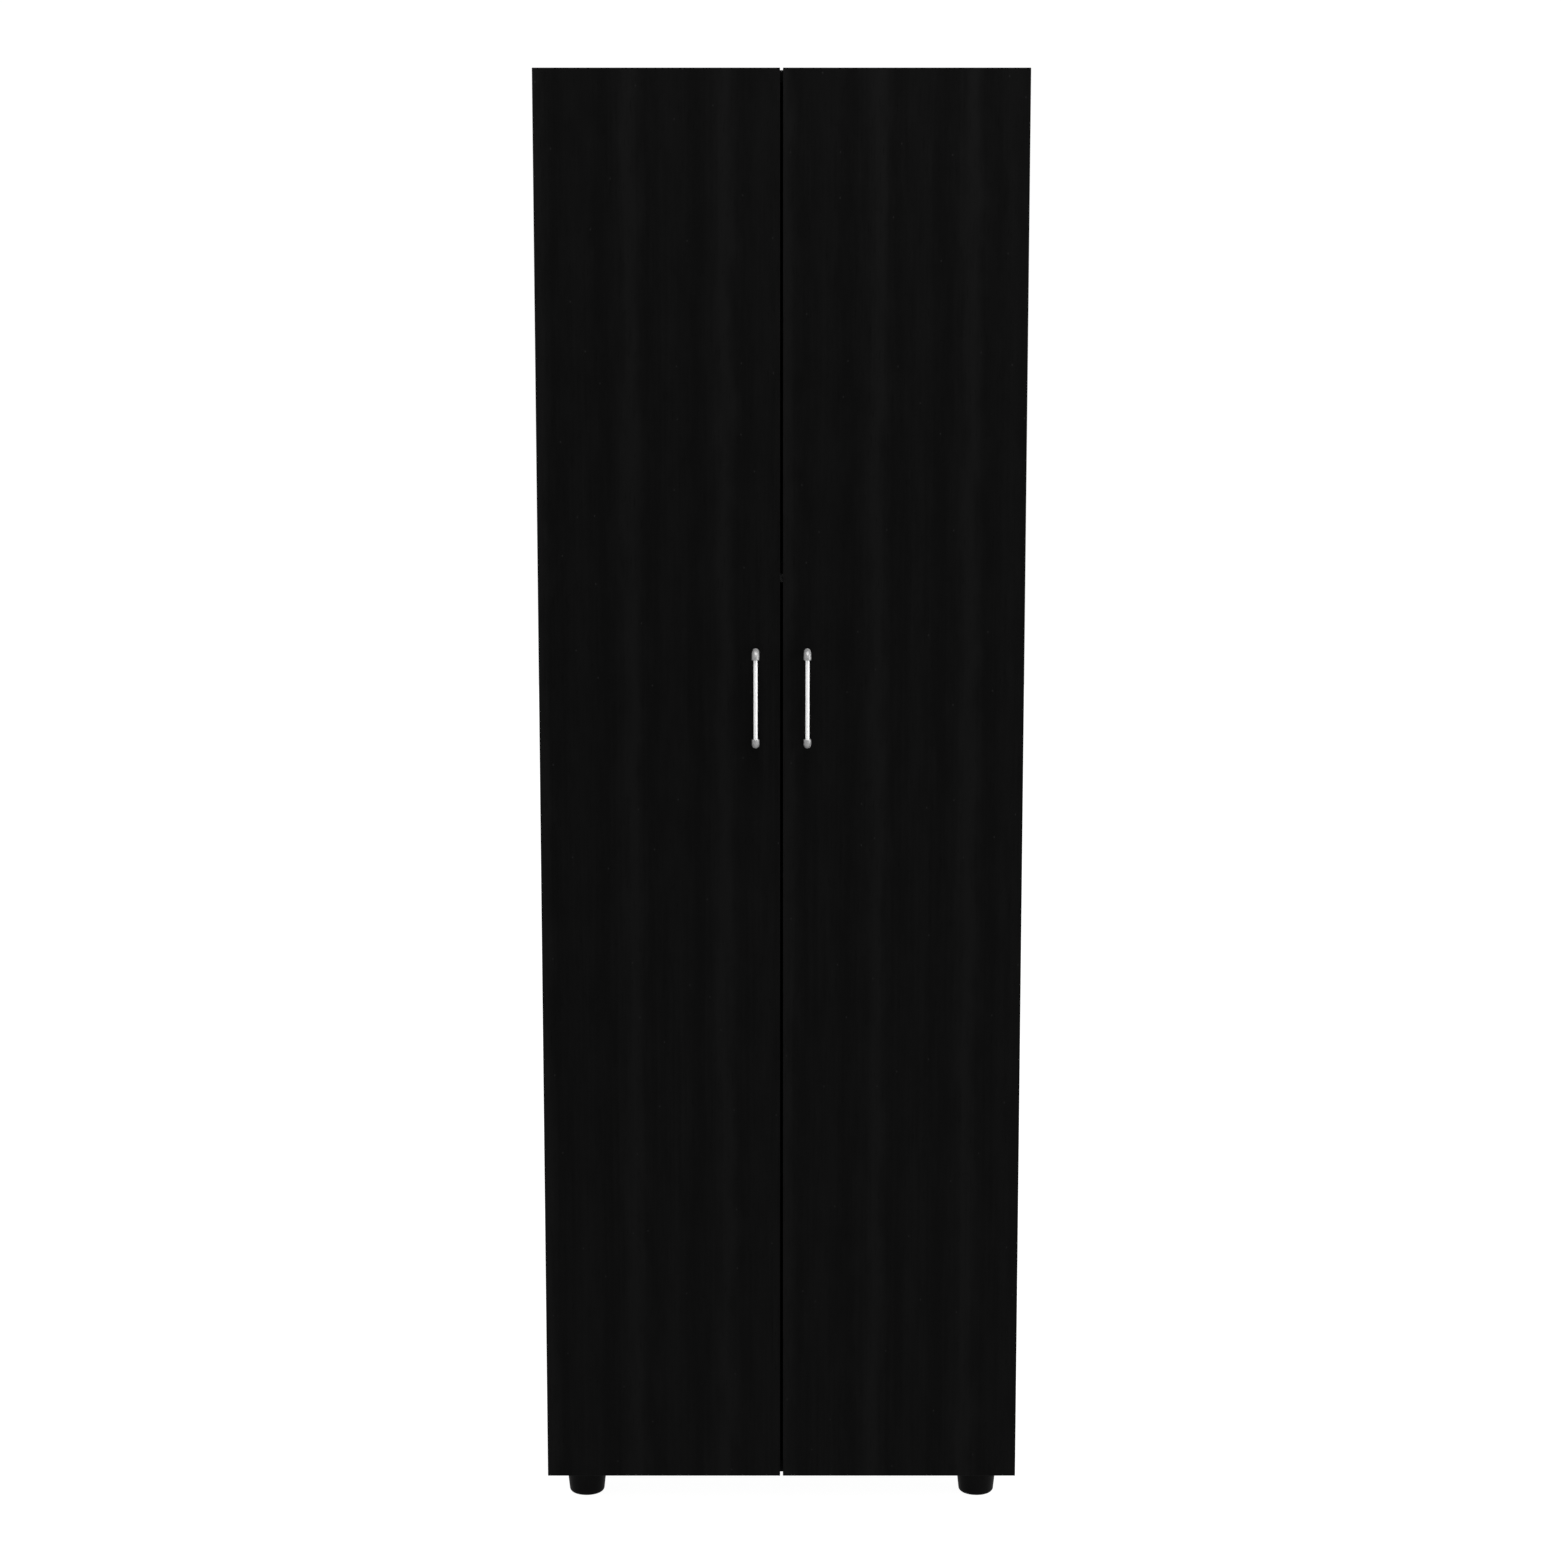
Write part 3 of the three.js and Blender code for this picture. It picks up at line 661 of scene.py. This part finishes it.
class PANTRY_OT_handles(bpy.types.Operator):
    """Make the bars, their bent posts and the screws behind the doors"""

    bl_idname = "pantry.handles"
    bl_label = "Handles"

    def execute(self, context):
        for hand in HANDS:
            body = f"{hand}_door"
            self.bar(hand, body)
            screws = []
            for end in ("lower", "upper"):
                self.post(hand, end, body)
                low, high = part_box(f"{hand}_handle_post_{end}")
                radius = (high.x - low.x) / 2
                z = high.z - radius if end == "upper" else low.z + radius
                origin = (low.x + radius, DOOR_HIGH.y, z)
                screws.append(screw("handle", origin, (0, 1, 0)))
            add_piece(f"{hand}_handle_screws", screws, finish("plated_steel"), body)
        return {"FINISHED"}

    def bar(self, hand, body):
        node = f"{hand}_handle_bar"
        low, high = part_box(node)
        radius, length = (high.x - low.x) / 2, high.z - low.z
        edge = 0.4 * MM
        profile = np.concatenate([
            [(0.3 * MM, 0)],
            quarter((radius - edge, edge), edge, -90),
            np.column_stack([np.full(30, radius), np.linspace(0.01, 0.99, 30) * length]),
            quarter((radius - edge, length - edge), edge, 0),
            [(0.3 * MM, length)],
        ])
        origin = ((low.x + high.x) / 2, (low.y + high.y) / 2, low.z)
        bar = turned(profile, origin, (0, 0, 1), 64)
        add_piece(
            f"{node}_turned", [bar], finish("satin_aluminium"), body, [node])

    def post(self, hand, end, body):
        """A bent post: a tube of changing radius along a quarter bend, with a bored end.

        Each ring is centre + r (cos t X + sin t N), with N across the path in the plane
        x = const. The last rings step in over a rounded lip and back into the bore.
        """
        node = f"{hand}_handle_post_{end}"
        low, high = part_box(node)
        down = 1 if end == "upper" else -1
        x, radius = (low.x + high.x) / 2, (high.x - low.x) / 2
        foot_radius, bend, lip = radius - 0.5 * MM, 5 * MM, 0.5 * MM
        bar_low, bar_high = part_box(f"{hand}_handle_bar")
        bore = (bar_high.x - bar_low.x) / 2 + 0.1 * MM
        bar_y, mouth = low.y + radius, high.z - low.z - radius
        axis_z = high.z - radius if down > 0 else low.z + radius
        turn, roll = np.radians(np.linspace(0, 90, 17)), np.radians(np.linspace(0, 90, 5))
        stem = np.linspace(0, 1, 9)[:-1]
        forward = np.concatenate([
            high.y + (bar_y + bend - high.y) * stem,
            bar_y + bend * (1 - np.sin(turn)), np.full(8, bar_y)])
        drop = np.concatenate([
            np.zeros(8), bend * (1 - np.cos(turn)), mouth - lip + lip * np.sin(roll),
            [mouth - 0.2 * MM, mouth - 4.2 * MM, mouth - 4.2 * MM]])
        size = np.concatenate([
            foot_radius + (radius - foot_radius) * stem, np.full(17, radius),
            radius - lip * (1 - np.cos(roll)), [bore, bore, 0.3 * MM]])
        heading = np.concatenate([np.zeros(8), turn, np.full(8, np.pi / 2)]) * down
        t = np.linspace(0, 2 * np.pi, 48, endpoint=False)
        out = size[:, None] * np.sin(t)
        grid = np.stack([
            x + size[:, None] * np.cos(t),
            forward[:, None] - out * np.sin(heading)[:, None],
            axis_z - down * drop[:, None] + out * np.cos(heading)[:, None]], -1)
        add_piece(
            f"{node}_bent", [shell(grid)], finish("polished_plate"), body,
            [node])


class PANTRY_OT_hinges(bpy.types.Operator):
    """Make the cups, arms, plates, pins and screws of the six concealed hinges"""

    bl_idname = "pantry.hinges"
    bl_label = "Hinges"

    def execute(self, context):
        for hand, side in HANDS.items():
            for level in HINGE_LEVELS:
                name = f"{hand}_{level}_hinge"
                self.cup(name, side, f"{hand}_door")
                self.arm(name, side)
                self.plate(name, side)
                self.pin(name, f"{hand}_door")
        return {"FINISHED"}

    def cup(self, name, side, body):
        """A deep-drawn cup whose rim swells into two ears for the screws."""
        low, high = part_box(f"{name}_cup")
        centre = (low + high) / 2
        depth, rim = high.y - low.y, (high.x - low.x) / 2
        outer, wall, thickness = rim - 1.5 * MM, 0.75 * MM, 0.75 * MM
        ear_angle = math.atan2(CUP_SCREW_RISE, CUP_SCREW_IN)
        reach = math.hypot(CUP_SCREW_IN, CUP_SCREW_RISE) + EAR_END - rim

        def ears(t):
            """reach * exp(-((|t| - ear angle) / spread)^4), t from the inner side of the door."""
            turn = np.angle(np.exp(1j * (t if side > 0 else np.pi - t)))
            return reach * np.exp(-((np.abs(turn) - ear_angle) / EAR_SPREAD) ** 4)

        bend = 2 * MM
        profile = [(0.4 * MM, 0), (outer - bend, 0)]
        profile += list(quarter((outer - bend, bend), bend, -90)[1:])
        profile += [(outer, depth - thickness), (rim - 0.2 * MM, depth - thickness, 1)]
        profile += [(rim, depth - 0.5 * MM, 1), (rim - 0.3 * MM, depth, 1)]
        profile += [(outer - 0.2 * MM, depth), (outer - wall, depth - 0.5 * MM)]
        profile += [(outer - wall, bend + 0.4 * MM)]
        profile += list(quarter((outer - bend, bend), bend - wall, -90)[::-1])
        profile += [(0.4 * MM, wall)]
        origin = (centre.x, low.y, centre.z)
        cup = turned(profile, origin, (0, 1, 0), 96, swell=ears)
        add_piece(
            f"{name}_cup_drawn", [cup], finish("plated_steel"), body, [f"{name}_cup"])
        screw_x = centre.x - side * CUP_SCREW_IN
        heads = [
            screw("cup", (screw_x, high.y, centre.z + turn * CUP_SCREW_RISE), (0, 1, 0))
            for turn in (-1, 1)]
        add_piece(f"{name}_cup_screws", heads, finish("plated_steel"), body)

    def arm(self, name, side):
        """A folded channel over the plate, whose web runs on as the neck to the eye."""
        to_frame = hinge_plan(side)
        pin = middle_of(f"{name}_pin")
        low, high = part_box(f"{name}_arm")
        z, half = pin.z, (high.z - low.z) / 2
        pivot = np.array([SIDE_X - abs(pin.x), FRONT_Y - pin.y])
        web_u = SIDE_X - min(abs(low.x), abs(high.x)) - 0.8 * MM
        tail_v = FRONT_Y - high.y + 0.5 * MM
        neck_u, bend, step_v = pivot[0] + NECK_IN, 3 * MM, -14 * MM
        last_u = np.linspace(neck_u - bend - 2 * MM, pivot[0] + 1 * MM, 4)
        path = np.concatenate([
            np.column_stack([np.full(8, web_u), np.linspace(tail_v, step_v, 8)]),
            s_bend((web_u, step_v), (neck_u, -6.5 * MM), 8)[1:],
            np.column_stack([np.full(5, neck_u), np.linspace(-4 * MM, pivot[1] - bend, 5)]),
            quarter((neck_u - bend, pivot[1] - bend), bend, 0, 8)[1:],
            np.column_stack([last_u, np.full(4, pivot[1])]),
        ])
        width = np.interp(path[:, 1], [-10 * MM, -6 * MM], [2 * half, NECK_WIDTH])
        thickness = 1.5 * MM
        parts = [ribbon(path, thickness, width, to_frame, z)]
        rail_u = SIDE_X - max(abs(low.x), abs(high.x)) + 12.4 * MM
        cheek = [
            (rail_u, tail_v), (web_u - 1 * MM, tail_v), (web_u + 0.4 * MM, tail_v + 7 * MM),
            (web_u + 0.4 * MM, step_v), (web_u - 3 * MM, -7 * MM), (rail_u, -7 * MM)]
        for turn in (-1, 1):
            inner, outer = z + turn * (half - 1.3 * MM), z + turn * half
            parts.append(prism(cheek, to_frame, min(inner, outer), max(inner, outer)))
        eye = [(1 * MM, 0), (1.6 * MM, 0), (1.6 * MM, NECK_WIDTH), (1 * MM, NECK_WIDTH)]
        parts.append(turned(eye, (pin.x, pin.y, z - NECK_WIDTH / 2), (0, 0, 1), 24, closed=True))
        add_piece(
            f"{name}_arm_folded", parts, finish("plated_steel"), "carcass",
            [f"{name}_arm"])
        inward = (-side, 0, 0)
        screw_x = side * (SIDE_X - web_u - thickness / 2)
        heads = [
            screw("arm", (screw_x, FRONT_Y - (tail_v + ahead), z), inward)
            for ahead in ARM_SCREWS]
        add_piece(f"{name}_arm_screws", heads, finish("plated_steel"), "carcass")

    def plate(self, name, side):
        low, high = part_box(f"{name}_plate")
        centre = (low + high) / 2
        face_x = side * INNER_X
        inward = (-side, 0, 0)
        wing_thickness, wing_width, rail_width = 2 * MM, 14 * MM, 10.6 * MM
        wing_y = FRONT_Y + PLATE_SCREW_BACK
        rail_height, rail_length = high.x - low.x, high.y - low.y
        wings = slab(
            (face_x, wing_y, centre.z), inward, wing_width, high.z - low.z, wing_thickness,
            6 * MM, 0.5 * MM)
        rail = slab(
            (face_x, centre.y, centre.z), inward, rail_length, rail_width, rail_height,
            2.5 * MM, 0.5 * MM)
        add_piece(
            f"{name}_plate_cast", [wings, rail], finish("plated_steel"), "carcass",
            [f"{name}_plate"])
        wing_x = face_x - side * wing_thickness
        heads = [
            screw("plate", (wing_x, wing_y, centre.z + turn * PLATE_SCREW_RISE), inward)
            for turn in (-1, 1)]
        add_piece(f"{name}_plate_screws", heads, finish("plated_steel"), "carcass")

    def pin(self, name, body):
        low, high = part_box(f"{name}_pin")
        radius, length = (high.x - low.x) / 2, high.z - low.z
        profile = [(0.2 * MM, 0), (radius - 0.2 * MM, 0), (radius, 0.2 * MM)]
        profile += [(radius, length - 0.2 * MM), (radius - 0.2 * MM, length), (0.2 * MM, length)]
        origin = ((low.x + high.x) / 2, (low.y + high.y) / 2, low.z)
        pin = turned(profile, origin, (0, 0, 1), 24)
        add_piece(
            f"{name}_pin_ground", [pin], finish("plated_steel"), body, [f"{name}_pin"])


def s_bend(start, end, count):
    """A smooth step from start to end: the share across is 3 s^2 - 2 s^3."""
    s = np.linspace(0, 1, count)
    ease = s * s * (3 - 2 * s)
    across = start[0] + (end[0] - start[0]) * ease
    return np.column_stack([across, start[1] + (end[1] - start[1]) * s])


class PANTRY_OT_shelf_pins(bpy.types.Operator):
    """Turn the twelve pins that the loose shelves lie on"""

    bl_idname = "pantry.shelf_pins"
    bl_label = "Shelf pins"

    def execute(self, context):
        stem, collar, ease = 2.5 * MM, 4 * MM, 0.4 * MM
        for level in SHELF_LEVELS:
            for hand, side in HANDS.items():
                for end in PIN_ENDS:
                    node = f"{level}_shelf_pin_{hand}_{end}"
                    low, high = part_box(node)
                    length = high.x - low.x
                    seat = max(abs(low.x), abs(high.x)) - INNER_X
                    profile = np.concatenate([
                        [(0.2 * MM, 0), (stem - ease, 0), (stem, ease), (stem, seat)],
                        [(collar - 0.1 * MM, seat), (collar, seat + 0.1 * MM)],
                        [(collar, seat + 0.6 * MM), (collar - 0.2 * MM, seat + 0.75 * MM)],
                        [(stem, seat + 0.75 * MM), (stem, length - 1 * MM)],
                        quarter((stem - 1 * MM, length - 1 * MM), 1 * MM, 0),
                        [(0.2 * MM, length)],
                    ])
                    outer_x = side * max(abs(low.x), abs(high.x))
                    middle = (low + high) / 2
                    pin = turned(profile, (outer_x, middle.y, middle.z), (-side, 0, 0), 32)
                    add_piece(
                        f"{node}_turned", [pin], finish("plated_steel"), "carcass",
                        [node])
        return {"FINISHED"}


class PANTRY_OT_catch(bpy.types.Operator):
    """Finish the magnetic catch, its magnets, strike plates and screws"""

    bl_idname = "pantry.catch"
    bl_label = "Magnetic catch"

    def execute(self, context):
        housing_low, housing_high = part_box("catch_housing")
        ease_edges("catch_housing", 0.5 * MM)
        paint("catch_housing", "grey_plastic")
        ear_x, ear_y = housing_high.x - CATCH_SCREW[0], housing_low.y + CATCH_SCREW[1]
        ear_z = housing_high.z - 2 * MM
        heads = [
            screw("catch", (side * ear_x, ear_y, ear_z), (0, 0, -1)) for side in HANDS.values()]
        add_piece("catch_screws", heads, finish("plated_steel"), "carcass")
        for hand in HANDS:
            strike = middle_of(f"{hand}_strike_plate")
            self.magnet(hand, strike.x, housing_low, housing_high)
            self.strike(hand, f"{hand}_door")
        return {"FINISHED"}

    def magnet(self, hand, x, low, high):
        """A block of ferrite between two steel poles that stand just proud of it."""
        z = (low.z + high.z) / 2
        back, front = low.y + 3.6 * MM, low.y + 0.2 * MM
        width, corner, edge = 13 * MM, 0.3 * MM, 0.2 * MM
        poles = [
            slab((x, back, z + turn * 2.2 * MM), (0, -1, 0), width, 1.2 * MM, back - front,
                 corner, edge)
            for turn in (-1, 1)]
        add_piece(f"{hand}_catch_poles", poles, finish("plated_steel"), "carcass")
        depth = back - front - 0.8 * MM
        block = slab((x, back, z), (0, -1, 0), width, 2.9 * MM, depth, corner, edge)
        add_piece(f"{hand}_catch_magnet", [block], finish("ferrite"), "carcass")

    def strike(self, hand, body):
        node = f"{hand}_strike_plate"
        low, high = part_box(node)
        middle = (low + high) / 2
        size = high - low
        thickness = size.y - 0.25 * MM
        plate = slab(
            (middle.x, low.y, middle.z), (0, 1, 0), size.x, size.z, thickness, 2.5 * MM, 0.3 * MM)
        head = screw("strike", (middle.x, high.y - 0.3 * MM, middle.z), (0, 1, 0))
        add_piece(f"{node}_pressed", [plate, head], finish("plated_steel"), body, [node])


class PANTRY_OT_cam_fittings(bpy.types.Operator):
    """Set the cam discs that draw the boards together"""

    bl_idname = "pantry.cam_fittings"
    bl_label = "Cam fittings"

    def execute(self, context):
        rows = (FRONT_Y + 95 * MM, REAR_Y - 80 * MM)
        for board in ("bottom_panel", "fixed_shelf"):
            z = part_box(board)[0].z
            discs = [
                self.disc((side * (INNER_X - CAM_INSET), y, z), (0, 0, -1))
                for side in HANDS.values() for y in rows]
            add_piece(f"{board}_cams", discs, finish("plated_steel"), "carcass")
        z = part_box("top_panel")[0].z - CAM_INSET
        for hand, side in HANDS.items():
            discs = [self.disc((side * INNER_X, y, z), (-side, 0, 0)) for y in rows]
            add_piece(f"{hand}_side_cams", discs, finish("plated_steel"), "carcass")
        return {"FINISHED"}

    def disc(self, origin, out):
        return screw_head(origin, out, CAM_RADIUS, 0.5 * MM, 40)


class PANTRY_OT_bumpers(bpy.types.Operator):
    """Stick the soft stops on the doors' backs"""

    bl_idname = "pantry.bumpers"
    bl_label = "Door bumpers"

    def execute(self, context):
        radius = context.scene.pantry_fittings.bumper_radius
        height = 1.6 * MM
        dome = [(0.3 * MM, 0), (radius, 0), (radius, 0.5 * MM)]
        dome += [(radius * math.cos(t), 0.5 * MM + (height - 0.5 * MM) * math.sin(t))
                 for t in np.radians((20, 40, 60, 75, 86))]
        rows = (middle_of("bottom_panel").z, middle_of("top_panel").z)
        for hand, side in HANDS.items():
            pads = [turned(dome, (side * BUMPER_X, DOOR_HIGH.y, z), (0, 1, 0), 40) for z in rows]
            add_piece(
                f"{hand}_door_bumpers", pads, finish("rubber"), f"{hand}_door")
        return {"FINISHED"}


class PANTRY_OT_stage(bpy.types.Operator):
    """Set the camera, the white room, the floor and the softboxes"""

    bl_idname = "pantry.stage"
    bl_label = "Stage"

    def execute(self, context):
        stage = context.scene.pantry_stage
        self.camera(context.scene, stage)
        self.room(context.scene, stage)
        self.floor()
        aim = (0, DOOR_LOW.y, 1.05)
        self.softbox("overhead_softbox", (0.3, -0.9, 3.4), aim, (1.8, 1.2), stage.overhead)
        self.softbox("right_softbox", (2.6, -1.2, 1.7), aim, (0.9, 2.0), stage.right_box)
        self.softbox("left_softbox", (-2.7, -1.5, 1.5), aim, (1.2, 2.4), stage.left_box)
        context.scene.view_settings.view_transform = "Standard"
        return {"FINISHED"}

    def camera(self, scene, stage):
        data = bpy.data.cameras.new("camera")
        data.lens = stage.lens
        data.sensor_width = 36
        camera = bpy.data.objects.new("camera", data)
        scene.collection.objects.link(camera)
        camera.location = (0, DOOR_LOW.y - stage.distance, DOOR_HIGH.z - stage.drop)
        camera.rotation_euler = (math.radians(90) - stage.pitch, 0, 0)
        scene.camera = camera

    def room(self, scene, stage):
        """White behind the cabinet; its light dims from the back of the room to the front."""
        world = bpy.data.worlds.new("white_room")
        world.use_nodes = True
        tree = world.node_tree
        sky = tree.nodes["Background"]
        way = tree.nodes.new("ShaderNodeTexCoord")
        parts = tree.nodes.new("ShaderNodeSeparateXYZ")
        fade = tree.nodes.new("ShaderNodeMapRange")
        ray = tree.nodes.new("ShaderNodeLightPath")
        level = tree.nodes.new("ShaderNodeMix")
        fade.interpolation_type = "SMOOTHSTEP"
        for i, value in enumerate((-0.95, -0.1, stage.front, stage.fill)):
            fade.inputs[i + 1].default_value = value
        level.inputs["B"].default_value = stage.backdrop
        for start, end in (
                (way.outputs["Generated"], parts.inputs[0]), (parts.outputs["Y"], fade.inputs[0]),
                (ray.outputs["Is Camera Ray"], level.inputs["Factor"]),
                (fade.outputs[0], level.inputs["A"]), (level.outputs[0], sky.inputs["Strength"])):
            tree.links.new(start, end)
        sky.inputs["Color"].default_value = (1, 1, 1, 1)
        scene.world = world

    def floor(self):
        """A wide plain floor that looks white and throws back a part of that light."""
        half = 8.0
        steps = np.linspace(-half, half, 9)
        x, y = np.meshgrid(steps, steps)
        points = np.stack([x, y, np.zeros_like(x)], -1).reshape(-1, 3)
        corner = (np.arange(8)[:, None] * 9 + np.arange(8)[None, :]).reshape(-1)
        faces = np.stack([corner, corner + 1, corner + 10, corner + 9], -1)
        mesh = bpy.data.meshes.new("floor")
        mesh.from_pydata(points.tolist(), [], faces.tolist())
        recipe = Recipe("pale_floor")
        tint = recipe.blend(recipe.noise((3, 3, 3)), (0.2, 0.2, 0.2, 1), (0.22, 0.22, 0.22, 1))
        seen = recipe.add("ShaderNodeLightPath", "Is Camera Ray")
        mesh.materials.append(recipe.shade(
            Base_Color=tint, Roughness=0.9, Specular_IOR_Level=0.0,
            Emission_Color=(1, 1, 1, 1), Emission_Strength=recipe.span(seen, 0, 1, 0.66, 0.98)))
        floor = bpy.data.objects.new("floor", mesh)
        bpy.context.scene.collection.objects.link(floor)

    def softbox(self, name, location, aim, size, power):
        data = bpy.data.lights.new(name, "AREA")
        data.shape = "RECTANGLE"
        data.energy = power
        data.size, data.size_y = size
        light = bpy.data.objects.new(name, data)
        bpy.context.scene.collection.objects.link(light)
        light.location = location
        light.rotation_euler = (Vector(aim) - Vector(location)).to_track_quat("-Z", "Y").to_euler()
        light.visible_camera = False


class PANTRY_PT_sidebar(bpy.types.Panel):
    """The cabinet's steps and settings"""

    bl_label = "Pantry Cabinet"
    bl_idname = "PANTRY_PT_sidebar"
    bl_space_type = "VIEW_3D"
    bl_region_type = "UI"
    bl_category = "Pantry"

    def draw(self, context):
        layout = self.layout
        for step in STEPS:
            layout.operator(step.bl_idname)
        for group in ("pantry_finishes", "pantry_fittings", "pantry_stage"):
            settings = getattr(context.scene, group)
            box = layout.box()
            for key in settings.bl_rna.properties.keys()[2:]:
                box.prop(settings, key)


STEPS = (
    PANTRY_OT_boards, PANTRY_OT_back_panel, PANTRY_OT_feet, PANTRY_OT_handles,
    PANTRY_OT_hinges, PANTRY_OT_shelf_pins, PANTRY_OT_catch, PANTRY_OT_cam_fittings,
    PANTRY_OT_bumpers, PANTRY_OT_stage)
GROUPS = {
    "pantry_finishes": PantryFinishes,
    "pantry_fittings": PantryFittings,
    "pantry_stage": PantryStage,
}


def register():
    for kind in (*GROUPS.values(), *STEPS, PANTRY_PT_sidebar):
        bpy.utils.register_class(kind)
    for name, kind in GROUPS.items():
        setattr(bpy.types.Scene, name, bpy.props.PointerProperty(type=kind))


def unregister():
    for name in GROUPS:
        delattr(bpy.types.Scene, name)
    for kind in (PANTRY_PT_sidebar, *reversed(STEPS), *reversed(GROUPS.values())):
        bpy.utils.unregister_class(kind)


def main():
    register()
    for step in STEPS:
        group, verb = step.bl_idname.split(".")
        getattr(getattr(bpy.ops, group), verb)()


if __name__ == "__main__":
    main()
